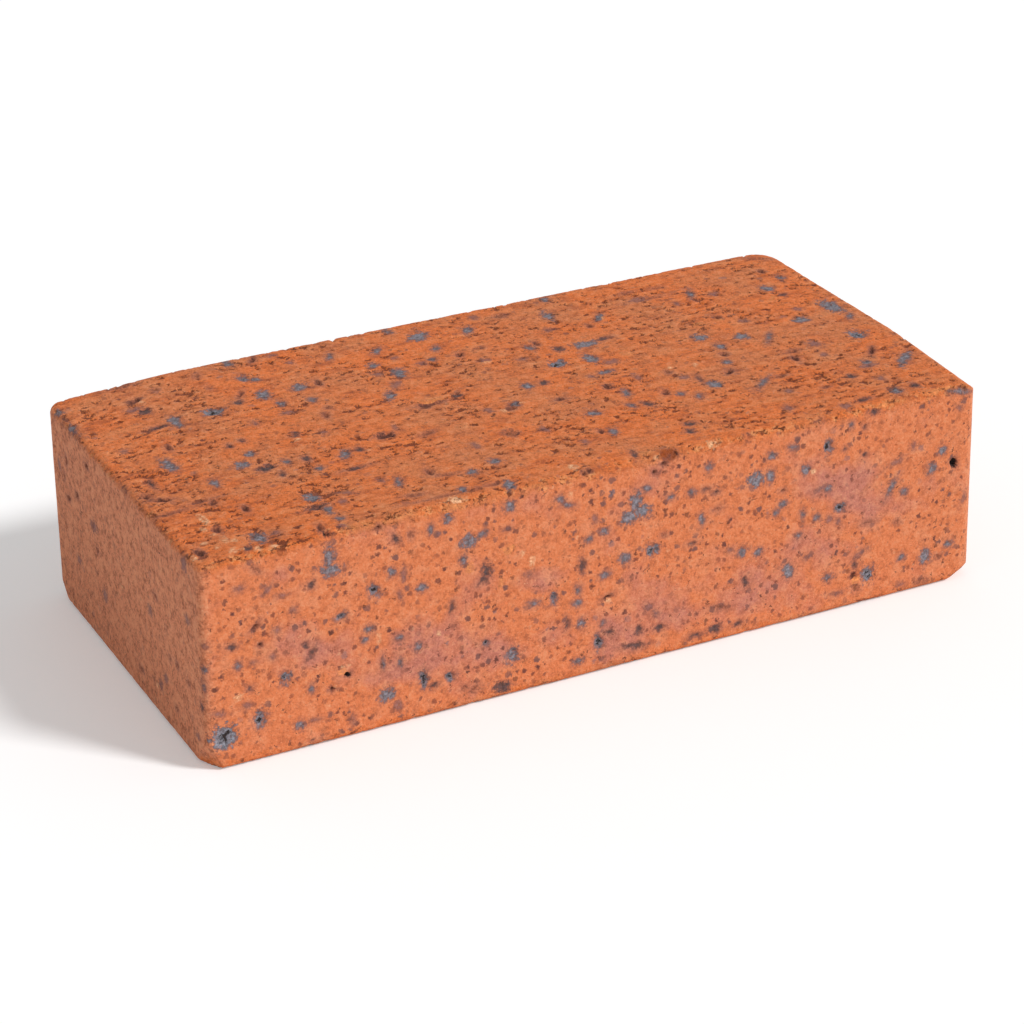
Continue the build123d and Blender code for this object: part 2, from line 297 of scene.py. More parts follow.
        (38.7, 6.4, 3.0, 3.4, 0), (-23.0, 3.6, 7.0, 3.0, 0), (74.0, 15.2, 2.6, 1.8, 0),
        (67.0, 15.4, 3.0, 2.0, 0), (96.0, 22.0, 4.0, 2.0, 30), (12.0, -54.0, 5.0, 2.4, 0),
        (-20.0, -57.5, 7.0, 2.4, 0), (84.0, -57.0, 8.0, 2.6, 0), (100.0, -56.0, 7.0, 2.4, 0),
    ),
}

# Marks on the left header: distance towards the front, Z, length, height and degrees turned
header_marks = {
    "iron": ((56.4, 25.0, 1.5, 3.1, 0), (-44.5, 59.0, 7.0, 2.4, 0)),
    "dark": ((-21.2, 35.6, 2.8, 2.4, 10), (54.8, 18.6, 1.7, 2.1, 0)),
    "faint": (
        (20.2, 29.8, 3.1, 3.1, 0), (29.4, 14.2, 2.5, 3.2, -30), (47.9, 39.9, 3.1, 2.5, 0),
        (47.5, 55.5, 3.5, 5.0, 0), (-15.6, 17.4, 4.0, 4.0, 0), (-34.0, 58.6, 6.5, 3.8, 0),
        (4.5, 58.0, 4.2, 1.7, 0), (25.4, 10.5, 2.5, 3.1, -20), (51.2, 8.5, 2.5, 2.1, 0),
        (-21.2, 35.6, 4.8, 3.4, 10), (-36.0, 19.0, 3.2, 2.5, 0), (-47.7, 43.1, 2.5, 3.1, 0),
    ),
    "pit": ((-34.0, 39.5, 2.2, 1.2, 15), (-41.3, 35.5, 2.5, 1.1, 15), (-24.0, 52.3, 2.2, 1.3, 0)),
    "brown": (
        (-41.3, 46.7, 2.1, 3.1, 0), (38.7, 22.6, 2.2, 1.7, 0), (33.5, 22.2, 1.5, 1.5, 0),
        (-19.5, 29.2, 1.6, 1.6, 0), (24.9, 36.0, 2.4, 1.2, 0), (36.5, 9.0, 1.8, 1.2, 0),
        (11.0, 8.0, 2.6, 1.4, 0), (46.3, 21.2, 1.4, 1.4, 0), (-43.8, 41.0, 1.4, 2.0, 0),
    ),
    "cream": ((23.0, 9.2, 1.7, 1.6, 0), (47.7, 55.8, 2.8, 1.4, 0), (-1.2, 26.8, 1.4, 1.0, 0)),
}

# Clouds of pinkish mauve in the die skin: X, Z, length and height on the front stretcher
mauve_clouds = (
    (-88, 35, 22, 34), (-95, 51, 14, 10), (-62, 16, 34, 12), (-24, 15, 50, 13),
    (30, 15, 44, 22), (72, 40, 22, 34), (84, 28, 20, 16), (-20, 32, 16, 8), (60, 24, 24, 14),
)


# Settings that many nodes share
COLOUR = {"data_type": "RGBA"}
SHADE = {"data_type": "RGBA", "blend_type": "MULTIPLY"}
SMOOTH = {"interpolation_type": "SMOOTHSTEP"}
PLUS, MINUS, TIMES, TIMES_PLUS = (
    {"operation": name} for name in ("ADD", "SUBTRACT", "MULTIPLY", "MULTIPLY_ADD")
)


def linear(colour):
    """Turns an sRGB hex colour into the linear values that Blender's sockets hold."""
    parts = [int(colour[at : at + 2], 16) / 255 for at in (0, 2, 4)]
    return [c / 12.92 if c <= 0.04045 else ((c + 0.055) / 1.055) ** 2.4 for c in parts] + [1.0]


def add(tree, kind, settings, *ordered, **named):
    """Adds a node with its settings. Inputs are values, sockets or nodes, in order or by name."""
    made = tree.nodes.new(kind if "Node" in kind else "ShaderNode" + kind)
    for name, value in settings.items():
        setattr(made, name, value)
    sockets = [s for s in made.inputs if s.enabled]
    pairs = list(zip(sockets, ordered))
    for name, value in named.items():
        pairs.append((next(s for s in sockets if s.name == name.replace("_", " ")), value))
    for socket, value in pairs:
        if isinstance(value, bpy.types.Node):
            value = next(s for s in value.outputs if s.enabled)
        if isinstance(value, bpy.types.NodeSocket):
            tree.links.new(value, socket)
        else:
            socket.default_value = value
    return made


def pick(kind, test):
    """Selects, in edit mode, only the vertices, edges or faces that pass the test."""
    bpy.ops.mesh.select_mode(type={"verts": "VERT", "edges": "EDGE", "faces": "FACE"}[kind])
    bpy.ops.mesh.select_all(action="DESELECT")
    shape = bmesh.from_edit_mesh(bpy.context.edit_object.data)
    for item in getattr(shape, kind):
        if test(item):
            item.select_set(True)
    shape.select_flush_mode()
    bmesh.update_edit_mesh(bpy.context.edit_object.data)


def middle(edge):
    return (edge.verts[0].co + edge.verts[1].co) / 2 / MM


def is_corner(edge, x_side, y_side):
    """True for the edge that runs from foot to top at that corner of the block."""
    run = (edge.verts[0].co - edge.verts[1].co) / MM
    at = middle(edge)
    at_end = at.x * x_side > foot_end * 0.9 and at.y * y_side > half_width * 0.9
    return abs(run.z) > height * 0.8 and at_end


def bounds_bed(edge, sign):
    """True for an edge between an upper (1) or lower (-1) bed face and a side face."""
    steep = sorted(face.normal.z * sign for face in edge.link_faces)
    return len(steep) == 2 and steep[0] < 0.5 and steep[1] > 0.9


def wire_cut_block():
    """The slug of clay as it left the wire: slumped headers, the fall of the upper bed, corners."""
    bpy.ops.object.select_all(action="DESELECT")
    bpy.ops.mesh.primitive_cube_add(
        size=1,
        location=(0, 0, height / 2 * MM),
        scale=(2 * foot_end * MM, 2 * half_width * MM, height * MM),
    )
    block = bpy.context.active_object
    block.name = "fired_brick"
    bpy.ops.object.transform_apply(location=True, rotation=True, scale=True)
    bpy.ops.object.mode_set(mode="EDIT")

    # Headers lean in from the foot
    for side, lean in ((-1, left_header_lean), (1, right_header_lean)):
        pick("verts", lambda v: v.co.x * side > 0 and v.co.z / MM > height / 2)
        bpy.ops.transform.translate(value=(-side * lean * MM, 0, 0))

    # The upper bed falls away to the left header, with a soft bend
    bpy.ops.mesh.select_all(action="SELECT")
    bpy.ops.mesh.bisect(plane_co=(sag_start * MM, 0, 0), plane_no=(1, 0, 0))
    pick("verts", lambda v: v.co.x / MM < sag_start - 1 and v.co.z / MM > height / 2)
    bpy.ops.transform.translate(value=(0, 0, -sag_depth * MM))
    pick("edges", lambda e: abs(middle(e).x - sag_start) < 0.1 and middle(e).z > height - 0.1)
    bend = sag_bend_radius * math.tan(math.atan(sag_depth / sag_run) / 2)
    bpy.ops.mesh.bevel(offset=bend * MM, segments=6, affect="EDGES")

    # The die's corners, then the arrises of both bed faces
    for x_side, y_side, radius in die_corners:
        pick("edges", lambda e: is_corner(e, x_side, y_side))
        bpy.ops.mesh.bevel(offset=radius * MM, segments=8, affect="EDGES")
    for sign, radius in ((1, top_arris_radius), (-1, bottom_arris_radius)):
        pick("edges", lambda e: bounds_bed(e, sign))
        bpy.ops.mesh.bevel(offset=radius * MM, segments=6, affect="EDGES")

    # Corners knocked off in handling
    for x, y, z, along, across, deep in broken_corners:
        x_side, y_side, z_side = (math.copysign(1, v) for v in (x, y, z - height / 2))
        bpy.ops.mesh.select_all(action="SELECT")
        bpy.ops.mesh.bisect(
            plane_co=((x - x_side * along) * MM, y * MM, z * MM),
            plane_no=(x_side / along, y_side / across, z_side / deep),
            use_fill=True,
            clear_outer=True,
        )
    bpy.ops.mesh.select_all(action="SELECT")
    bpy.ops.mesh.normals_make_consistent(inside=False)
    bpy.ops.object.mode_set(mode="OBJECT")

    # The shell spalled off the upper front arris
    bpy.ops.mesh.primitive_uv_sphere_add(
        segments=32, ring_count=16, radius=spall_radius * MM, location=spall_middle * MM
    )
    ball = bpy.context.active_object
    apply_modifier(block, "BOOLEAN", operation="DIFFERENCE", object=ball)
    bpy.data.objects.remove(ball)
    return block


def apply_modifier(piece, kind, **settings):
    """Adds a modifier with its settings and applies it."""
    made = piece.modifiers.new(kind.lower(), kind)
    for name, value in settings.items():
        setattr(made, name, value)
    bpy.context.view_layer.objects.active = piece
    bpy.ops.object.modifier_apply(modifier=made.name)


def numbers(items, name, width):
    """One row of numbers for each vertex, face or corner."""
    found = np.empty(len(items) * width, np.float32)
    items.foreach_get(name, found)
    return found.reshape(-1, width) if width > 1 else found


def note(mesh, name, kind, domain, values):
    """Writes a named attribute onto the mesh, for the relief and the material to read."""
    made = mesh.attributes.new(name, kind, domain)
    key = {"FLOAT": "value", "FLOAT_VECTOR": "vector", "FLOAT_COLOR": "color"}[kind]
    made.data.foreach_set(key, np.ascontiguousarray(values, np.float32).ravel())


def bed_height(x):
    """Height of the upper bed at X, in mm."""
    return height - sag_depth * np.clip((sag_start - x) / sag_run, 0, None)


def all_marks():
    """Every mark: its centre, its two axes and its outward direction, half sizes and kind."""
    marks = []

    def place(kinds, spot, along, up, out):
        for kind, rows in kinds.items():
            for a, b, long, tall, turned in rows:
                turn = math.radians(turned)
                first = along * math.cos(turn) + up * math.sin(turn)
                second = up * math.cos(turn) - along * math.sin(turn)
                marks.append((spot(a, b), first, second, out, long / 2, tall / 2, kind))

    def left_header(a, b):
        return np.array((left_header_lean * b / height - foot_end, -a, b))

    def right_header(a, b):
        return np.array((foot_end - right_header_lean * b / height, a, b))

    x, y, z = np.eye(3)
    place(stretcher_marks, lambda a, b: np.array((a, -half_width, b)), x, z, -y)
    place(bed_marks, lambda a, b: np.array((a, b, bed_height(a))), x, y, z)
    place(header_marks, left_header, -y, z, -x)

    # Faces that the picture doesn't show get marks of the same kinds and sizes, by chance
    chance = random.Random(7)
    shares = ("iron",) * 9 + ("faint",) * 6 + ("dark",) * 4 + ("brown",) * 3 + ("pit",) * 2
    shares += ("pitted", "cream", "ochre")

    def scatter(count, half_long, bottom, top, sizes):
        rows = {}
        for _ in range(count):
            size = chance.choice(sizes)
            where = (chance.uniform(-half_long, half_long), chance.uniform(bottom, top))
            form = (size * chance.uniform(0.7, 1.4), size * chance.uniform(0.7, 1.4))
            row = where + form + (chance.uniform(-60, 60),)
            rows.setdefault(chance.choice(shares), []).append(row)
        return rows

    sizes = (1.4, 1.7, 2.0, 2.2, 2.5, 2.8, 3.2, 3.8, 4.6)
    back = scatter(165, 113, 2, 58, sizes)
    place(back, lambda a, b: np.array((-a, half_width, b)), -x, z, y)
    right = scatter(42, 55, 2, 58, sizes[:7])
    place(right, right_header, y, z, x)
    under = scatter(190, 113, -55, 55, sizes)
    place(under, lambda a, b: np.array((a, -b, 0.0)), x, -y, -z)
    return marks


def survey(mesh, marks):
    """Notes, at each vertex, what the relief and the material need to know of its place."""
    at = numbers(mesh.vertices, "co", 3) / MM
    x, y, z = at.T
    left = x + foot_end - left_header_lean * z / height
    right = foot_end - right_header_lean * z / height - x
    ends = np.minimum(left, right)
    stretchers = half_width - abs(y)
    sides = np.minimum(ends, stretchers)
    upper = bed_height(x) - z
    note(mesh, "place", "FLOAT_VECTOR", "POINT", at)
    at_header = np.clip(1 - ends / 4, 0, 1)
    note(mesh, "header", "FLOAT", "POINT", at_header)
    note(mesh, "bed", "FLOAT", "POINT", sides - np.minimum(upper, z))
    note(mesh, "upper_arris", "FLOAT", "POINT", np.maximum(upper, sides) + 1.2 * at_header)
    note(mesh, "foot_arris", "FLOAT", "POINT", np.maximum(z, sides))
    note(mesh, "corner", "FLOAT", "POINT", np.maximum(ends, stretchers))
    beyond = np.linalg.norm(at - spall_middle, axis=1) - spall_radius
    note(mesh, "spalled", "FLOAT", "POINT", np.clip(1 - beyond / 0.5, 0, 1))

    # How deep the marks lie
    depth = np.zeros(len(at))
    for centre, first, second, out, half_long, half_tall, kind in marks:
        hollow = mark_kinds[kind][-1]
        if hollow:
            reach = 1.6 * max(half_long, half_tall)
            near = np.flatnonzero((abs(x - centre[0]) < reach) & (abs(y - centre[1]) < reach))
            off = at[near] - centre
            off = np.stack((off @ first / half_long, off @ second / half_tall, off @ out / 2), -1)
            share = np.clip(1.25 - (off**2).sum(-1), 0, 1)
            share = share * share * (3 - 2 * share)
            near_depth = depth[near]
            bigger = abs(share * hollow) > abs(near_depth)
            depth[near] = np.where(bigger, share * hollow, near_depth)
    note(mesh, "hollow", "FLOAT", "POINT", depth)

    mauve = np.zeros(len(at))
    for cx, cz, wide, tall in mauve_clouds:
        spread = ((x - cx) / wide) ** 2 + ((z - cz) / tall) ** 2
        mauve = np.maximum(mauve, np.exp(-3 * spread))
    note(mesh, "mauve", "FLOAT", "POINT", mauve * (y < 10 - half_width))


def show_marks(mesh, marks):
    """Notes, on each face, the mark that it lies nearest to, and its place within that mark."""
    at = numbers(mesh.attributes["place"].data, "vector", 3)
    corners = numbers(mesh.loops, "vertex_index", 1).astype(np.int32)
    corners = corners.reshape(-1, 3)
    middles = at[corners].mean(1)
    nearest = np.full(len(middles), 1e3)
    within = np.full((len(middles), 3, 3), 9.0)
    colours = np.ones((len(middles), 3, 4))
    forms = np.zeros((len(middles), 3, 3))
    for centre, first, second, out, half_long, half_tall, kind in marks:
        colour, cover, whole, hole, _ = mark_kinds[kind]
        size = min(half_long, half_tall)
        axes = np.stack((first / half_long, second / half_tall, out / size), -1)
        reach = 2.2 * max(half_long, half_tall) + 1.5
        near = np.flatnonzero((abs(middles - centre) < reach).all(-1))
        edge = (np.linalg.norm((middles[near] - centre) @ axes, axis=-1) - 1) * size
        closer = edge < nearest[near]
        near = near[closer]
        nearest[near] = edge[closer]
        within[near] = (at[corners[near]] - centre) @ axes
        colours[near] = linear(colour)[:3] + [whole]
        forms[near] = (cover, hole, size)
    note(mesh, "mark", "FLOAT_VECTOR", "CORNER", within)
    note(mesh, "mark_colour", "FLOAT_COLOR", "CORNER", colours)
    note(mesh, "mark_form", "FLOAT_VECTOR", "CORNER", forms)


def lay_flat(mesh):
    """Unfolds the six sides of the block onto one square sheet, all at one scale, for baking."""
    at = numbers(mesh.vertices, "co", 3) / MM
    corners = numbers(mesh.loops, "vertex_index", 1).astype(np.int32)
    middles = at[corners.reshape(-1, 3)].mean(1)
    x, y, z = middles.T
    shaded_gaps = (height - z, z, x + foot_end, foot_end - x, y + half_width, half_width - y)
    side = np.repeat(np.argmin(shaded_gaps, 0), 3)
    x, y, z = at[corners].T
    x, y = x + foot_end, y + half_width
    margin = 2.0
    long, wide = 2 * foot_end, 2 * half_width

    # For each side, in the order of the gaps: its place across and up the sheet
    column = long + 2 * margin
    row = 2 * wide + 3 * margin
    across = (x, x, y + wide + margin, y, z + column, z + column + height + margin)
    up = (y, y + wide + margin, z + row, z + row, x, x)
    flat = np.stack((np.choose(side, across), np.choose(side, up)), -1) + margin
    sheet = mesh.uv_layers.new(name="OFBake")
    sheet.data.foreach_set("uv", (flat / (column + 2 * height + 4 * margin)).ravel())


def torn_clay(tree, place):
    """Noise whose crests, past 0.77, are the short ragged tears that the wire left in a bed.
    There are more of them towards the left header, where the wire came out of the clay."""
    drawn = add(tree, "VectorMath", TIMES, place, (1 / 2.6, 1 / 1.7, 1 / 1.7))
    torn = add(tree, "TexNoise", {}, drawn, 1.0, 3.0, 0.6)
    crowd = add(tree, "TexNoise", {}, place, 1 / 14, 2.0, 0.5)
    torn = add(tree, "Math", TIMES_PLUS, crowd, 0.3, torn)
    wire_end = add(tree, "SeparateXYZ", {}, place)
    wire_end = add(tree, "MapRange", {}, wire_end, -100.0, -20.0, 0.018, 0.0)
    return add(tree, "Math", PLUS, torn, wire_end)


def crumbled(tree, place, arris, reach):
    """0 to 1: where an arris has crumbled away, in bites that die out over its reach in mm."""
    bites = add(tree, "TexNoise", {}, place, 1 / 2.6, 4.0, 0.65)
    near = add(tree, "MapRange", {}, arris, 0.0, reach, 0.16, -0.14)
    bites = add(tree, "Math", PLUS, bites, near)
    return add(tree, "MapRange", SMOOTH, bites, 0.56, 0.76, 0.0, 1.0)


def press_relief(piece):
    """Moves the skin of the block inwards: warp, wire marks, tears, pores, crumbled arrises."""
    tree = bpy.data.node_groups.new("clay_relief", "GeometryNodeTree")
    for way in ("INPUT", "OUTPUT"):
        tree.interface.new_socket("Geometry", in_out=way, socket_type="NodeSocketGeometry")
    start = add(tree, "NodeGroupInput", {})
    read = {}
    for name in ("place", "bed", "upper_arris", "foot_arris", "corner", "hollow"):
        kind = {"data_type": "FLOAT_VECTOR" if name == "place" else "FLOAT"}
        read[name] = add(tree, "GeometryNodeInputNamedAttribute", kind, name)
    place = read["place"]
    bed = add(tree, "MapRange", {}, read["bed"], -0.5, 1.5, 0.0, 1.0)
    side = add(tree, "Math", MINUS, 1.0, bed)

    # Each row: how deep in mm, what it follows, and where it acts
    warp = add(tree, "TexNoise", {}, place, 1 / 60, 1.0, 0.5)
    drag = add(tree, "VectorMath", TIMES, place, (1 / 12, 1 / 1.5, 1 / 1.5))
    drag = add(tree, "TexNoise", {}, drag, 1.0, 3.0, 0.6)
    lump = add(tree, "TexNoise", {}, place, 1 / 7, 2.0, 0.5)
    grain = add(tree, "TexNoise", {}, place, 1 / 1.4, 3.0, 0.65)
    pores = add(tree, "TexVoronoi", {}, place, 1 / 5)
    pores = add(tree, "MapRange", {}, pores, 0.07, 0.12, 1.0, 0.0)
    torn = add(tree, "MapRange", SMOOTH, torn_clay(tree, place), 0.75, 0.82, 0.0, 1.0)
    rows = (
        (0.30, warp, None),
        (0.10, drag, bed),
        (0.16, lump, bed),
        (0.12, lump, side),
        (0.16, grain, bed),
        (0.10, grain, side),
        (0.45, torn, bed),
        (0.45, pores, side),
        (0.75, crumbled(tree, place, read["upper_arris"], 4.5), None),
        (0.30, crumbled(tree, place, read["foot_arris"], 2.5), None),
        (0.20, crumbled(tree, place, read["corner"], 2.5), None),
        (1.00, read["hollow"], None),
    )

    # The crests of the skin lie on the solid's own faces, short of them by a hair
    depth = add(tree, "MapRange", {}, bed, 0.0, 1.0, -0.14, -0.22)
    for deep, follows, where in rows:
        if where:
            follows = add(tree, "Math", TIMES, follows, where)
        depth = add(tree, "Math", TIMES_PLUS, follows, deep, depth)
    depth = add(tree, "Math", {"operation": "MAXIMUM"}, depth, 0.03)
    inwards = add(tree, "Math", TIMES, depth, -MM)
    normal = add(tree, "GeometryNodeInputNormal", {})
    offset = add(tree, "VectorMath", {"operation": "SCALE"}, normal, Scale=inwards)
    moved = add(tree, "GeometryNodeSetPosition", {}, start, Offset=offset)
    add(tree, "NodeGroupOutput", {}, moved)
    apply_modifier(piece, "NODES", node_group=tree)


def fired_clay():
    """Red-burning clay, pushed through a die and cut by a wire, fired bare at about 1050 degrees.
    The die skin is tight and salmon with mauve clouds where the fire starved of air. The beds
    are open and browner, torn by the wire. Iron in the clay melted into slate-blue spots. It is
    matt all over."""
    clay = bpy.data.materials.new("fired_clay_wire_cut")
    clay.use_nodes = True
    tree = clay.node_tree
    shader = tree.nodes["Principled BSDF"]
    read = {}
    for name in ("bed", "header", "upper_arris", "mauve", "spalled"):
        read[name] = add(tree, "Attribute", {"attribute_name": name}).outputs["Fac"]
    for name in ("place", "mark", "mark_form"):
        read[name] = add(tree, "Attribute", {"attribute_name": name}).outputs["Vector"]
    place = read["place"]

    # A ragged copy of the place, so that no dot has a drawn edge
    tatter = add(tree, "TexNoise", {}, place, 1 / 0.9, 3.0, 0.65).outputs["Color"]
    tatter = add(tree, "VectorMath", MINUS, tatter, (0.5, 0.5, 0.5))
    tatter = add(tree, "VectorMath", {"operation": "SCALE"}, tatter, Scale=1.9)
    ragged = add(tree, "VectorMath", PLUS, place, tatter)

    # The bed's open clay laps 2 mm over the stretchers, but stops sharp at the headers
    bed = add(tree, "TexNoise", {}, place, 1 / 3, 4.0, 0.65)
    bed = add(tree, "Math", TIMES_PLUS, bed, 8.0, read["bed"])
    bed = add(tree, "Math", TIMES_PLUS, read["header"], -1.7, bed)
    bed = add(tree, "MapRange", {}, bed, 0.7, 3.5, 0.0, 1.0)
    off_bed = add(tree, "Math", MINUS, 1.0, bed)
    header = add(tree, "Math", TIMES, read["header"], off_bed)

    # Die skin: orange, drifting to mauve, with pale blushes. On the headers, which stand in shade,
    # a duller, greyer tone is painted shade colour
    clouds = add(tree, "TexNoise", {}, place, 1 / 17, 3.0, 0.55)
    mauve = add(tree, "Math", TIMES_PLUS, read["mauve"], 0.26, clouds)
    mauve = add(tree, "MapRange", {}, mauve, 0.58, 0.78, 0.0, 1.0)
    blush = add(tree, "TexNoise", {}, place, 1 / 5, 4.0, 0.6)
    blush = add(tree, "MapRange", {}, blush, 0.50, 0.72, 0.0, 0.6)
    skin = add(tree, "Mix", COLOUR, mauve, linear("E27F4E"), linear("C97B66"))
    skin = add(tree, "Mix", COLOUR, blush, skin, linear("E8946A"))
    # Painted shade: the cooler, greyer tone of the headers in their shade
    header_shade_tint = add(tree, "Math", TIMES, header, 0.8)
    skin = add(tree, "Mix", COLOUR, header_shade_tint, skin, linear("DE8C66"))

    # Open clay of the beds: browner, drawn out along the cut
    browner = add(tree, "MapRange", {}, clouds, 0.42, 0.62, 0.0, 1.0)
    drag = add(tree, "VectorMath", TIMES, place, (1 / 9, 1 / 3, 1 / 3))
    drag = add(tree, "TexNoise", {}, drag, 1.0, 4.0, 0.6)
    bed_clay = add(tree, "Mix", COLOUR, browner, linear("F07C38"), linear("E0804A"))
    drawn = add(tree, "MapRange", {}, drag, 0.52, 0.72, 0.0, 0.75)
    bed_clay = add(tree, "Mix", COLOUR, drawn, bed_clay, linear("A9502A"))
    drawn = add(tree, "MapRange", {}, drag, 0.48, 0.28, 0.0, 0.5)
    bed_clay = add(tree, "Mix", COLOUR, drawn, bed_clay, linear("F29C66"))
    colour = add(tree, "Mix", COLOUR, bed, skin, bed_clay)

    # Mottle at 2 to 3 mm and grain at 1 mm, strongest on the headers: the low side darkens the
    # clay, the high side makes it paler. Off the beds, specks of pale quartz show in the skin
    mottle = add(tree, "TexNoise", {}, place, 1 / 2.6, 4.0, 0.62)
    grain = add(tree, "TexNoise", {}, place, 1 / 0.8, 3.0, 0.65)
    even = add(tree, "Math", TIMES_PLUS, grain, 0.90, -0.90)
    even = add(tree, "Math", TIMES_PLUS, mottle, 0.90, even)
    strength = add(tree, "MapRange", {}, header, 0.0, 1.0, 1.0, 1.9)
    strength = add(tree, "Math", TIMES_PLUS, bed, 0.15, strength)
    shade = add(tree, "Math", TIMES_PLUS, even, strength, 1.0)
    darker = add(tree, "MapRange", {}, shade, 1.03, 0.55, 0.0, 0.75)
    colour = add(tree, "Mix", COLOUR, darker, colour, linear("7A3818"))
    paler = add(tree, "MapRange", {}, shade, 1.03, 1.30, 0.0, 0.4)
    colour = add(tree, "Mix", COLOUR, paler, colour, linear("F2AC80"))
    quartz = add(tree, "TexNoise", {}, place, 1 / 0.6, 2.0, 0.6)
    quartz = add(tree, "MapRange", SMOOTH, quartz, 0.62, 0.72, 0.0, 0.5)
    quartz = add(tree, "Math", TIMES, quartz, off_bed)
    colour = add(tree, "Mix", COLOUR, quartz, colour, linear("F4B890"))

    # Crumbled arrises show raw clay. Its light tone on the crumbs is partly painted highlight, its
    # dark tone partly painted shade, and the dark in the gaps is painted shade
    crumbs = crumbled(tree, place, read["upper_arris"], 4.5)
    crumb = add(tree, "TexNoise", {}, ragged, 1 / 1.2, 3.0, 0.65)
    crumb_light_and_shade = add(tree, "MapRange", {}, crumb, 0.56, 0.42, 0.0, 1.0)
    raw = add(tree, "Mix", COLOUR, crumb_light_and_shade, linear("B4602C"), linear("F4A468"))
    raw_cover = add(tree, "MapRange", {}, crumbs, 0.0, 0.6, 0.0, 0.85)
    colour = add(tree, "Mix", COLOUR, raw_cover, colour, raw)
    # Painted shade in the gaps between the crumbs, which the relief also hollows
    shaded_gaps = add(tree, "MapRange", SMOOTH, crumb, 0.56, 0.61, 0.0, 0.9)
    shaded_gaps = add(tree, "Math", TIMES, shaded_gaps, raw_cover)
    colour = add(tree, "Mix", COLOUR, shaded_gaps, colour, linear("662C14"))
    # The spalled hollow turns darker brown: raw clay, partly darkened as painted shade of the
    # hollow
    shell = add(tree, "Math", TIMES, read["spalled"], 0.95)
    colour = add(tree, "Mix", COLOUR, shell, colour, linear("A04A12"))

    # Tears in the beds, darkened partly as painted shade in their hollows, and finer nicks all
    # over, half as strong on the beds
    torn = add(tree, "MapRange", SMOOTH, torn_clay(tree, ragged), 0.755, 0.80, 0.0, 0.85)
    torn = add(tree, "Math", TIMES, torn, bed)
    colour = add(tree, "Mix", COLOUR, torn, colour, linear("6A2E16"))
    nicks = add(tree, "TexNoise", {}, ragged, 1 / 1.6, 3.0, 0.6)
    nicks = add(tree, "MapRange", SMOOTH, nicks, 0.67, 0.72, 0.0, 0.85)
    fainter = add(tree, "Math", TIMES_PLUS, bed, -0.5, 1.0)
    nicks = add(tree, "Math", TIMES, nicks, fainter)
    colour = add(tree, "Mix", COLOUR, nicks, colour, linear("6E3422"))

    # Dots: size of the cells in mm, share of cells with a dot, its largest radius, colour,
    # cover. They crowd in swarms 9 mm wide, and are faint on the headers and the beds
    swarm = add(tree, "TexNoise", {}, place, 1 / 9, 2.0, 0.6)
    swarm = add(tree, "MapRange", SMOOTH, swarm, 0.38, 0.58, 0.4, 1.0)
    clear = add(tree, "MapRange", {}, header, 0.0, 1.0, 1.0, 0.3)
    clear = add(tree, "Math", TIMES_PLUS, bed, -0.50, clear)
    clear = add(tree, "Math", TIMES, clear, swarm)
    for cell, share, radius, dot_colour, cover in (
        (1.8, 0.50, 0.80, "74382A", 0.95),
        (2.0, 0.50, 0.90, "6C3A30", 1.00),
        (2.8, 0.40, 1.10, "7C5048", 0.95),
        (4.8, 0.25, 1.20, "7A6468", 0.85),
        (3.4, 0.25, 0.60, "F0B48A", 0.80),
        (3.2, 0.35, 0.80, "4A2216", 1.00),
    ):
        cells = add(tree, "TexVoronoi", {}, ragged, 1 / cell)
        lot = add(tree, "SeparateColor", {}, cells.outputs["Color"])
        size = add(tree, "MapRange", {}, lot, 1 - share, 1.0, 0.0, radius / cell)
        dot = add(tree, "Math", MINUS, size, cells)
        dot = add(tree, "MapRange", {}, dot, -0.12 / cell, 0.22 / cell, 0.0, cover)
        burn = add(tree, "MapRange", {}, lot.outputs["Green"], 0.0, 0.7, 0.5, 1.0)
        dot = add(tree, "Math", TIMES, dot, burn)
        dot = add(tree, "Math", TIMES, dot, clear)
        colour = add(tree, "Mix", COLOUR, dot, colour, linear(dot_colour))

    # The marks placed one by one: a mauve halo, then the body with a darker rim, pits and a hole.
    # Pale grains have neither halo nor rim
    form = add(tree, "SeparateXYZ", {}, read["mark_form"])
    cover, hole, size = form.outputs
    reach = add(tree, "VectorMath", {"operation": "LENGTH"}, read["mark"])
    fray = add(tree, "TexNoise", {}, place, 1 / 1.6, 4.0, 0.75)
    reach = add(tree, "Math", TIMES_PLUS, fray, 3.6, reach)
    edge = add(tree, "Math", MINUS, reach, 2.75)
    edge = add(tree, "Math", TIMES, edge, size)
    mark_colour = add(tree, "Attribute", {"attribute_name": "mark_colour"})
    pale = add(tree, "SeparateColor", {}, mark_colour.outputs["Color"])
    burnt = add(tree, "MapRange", {}, pale, 0.3, 0.6, 1.0, 0.0)
    halo = add(tree, "MapRange", {}, edge, 1.5, 0.0, 0.0, 0.55)
    halo = add(tree, "Math", TIMES, halo, cover)
    halo = add(tree, "Math", TIMES, halo, burnt)
    colour = add(tree, "Mix", COLOUR, halo, colour, linear("A26452"))
    body = add(tree, "MapRange", {}, edge, 0.45, -0.45, 0.0, 1.0)
    fleck = add(tree, "TexNoise", {}, place, 1 / 1.0, 3.0, 0.7)
    whole = add(tree, "Math", TIMES_PLUS, mark_colour.outputs["Alpha"], 0.6, 0.2)
    whole = add(tree, "Math", MINUS, whole, fleck)
    whole = add(tree, "MapRange", {}, whole, -0.03, 0.05, 0.2, 1.0)
    body = add(tree, "Math", TIMES, body, whole)
    body = add(tree, "Math", TIMES, body, cover)
    rim = add(tree, "MapRange", {}, edge, -1.4, 0.0, 0.0, 0.75)
    rim = add(tree, "Math", TIMES, rim, burnt)
    mark_colour = add(tree, "Mix", COLOUR, rim, mark_colour.outputs["Color"], linear("70453C"))
    flecked = add(tree, "MapRange", {}, fleck, 0.34, 0.64, 1.45, 0.45)
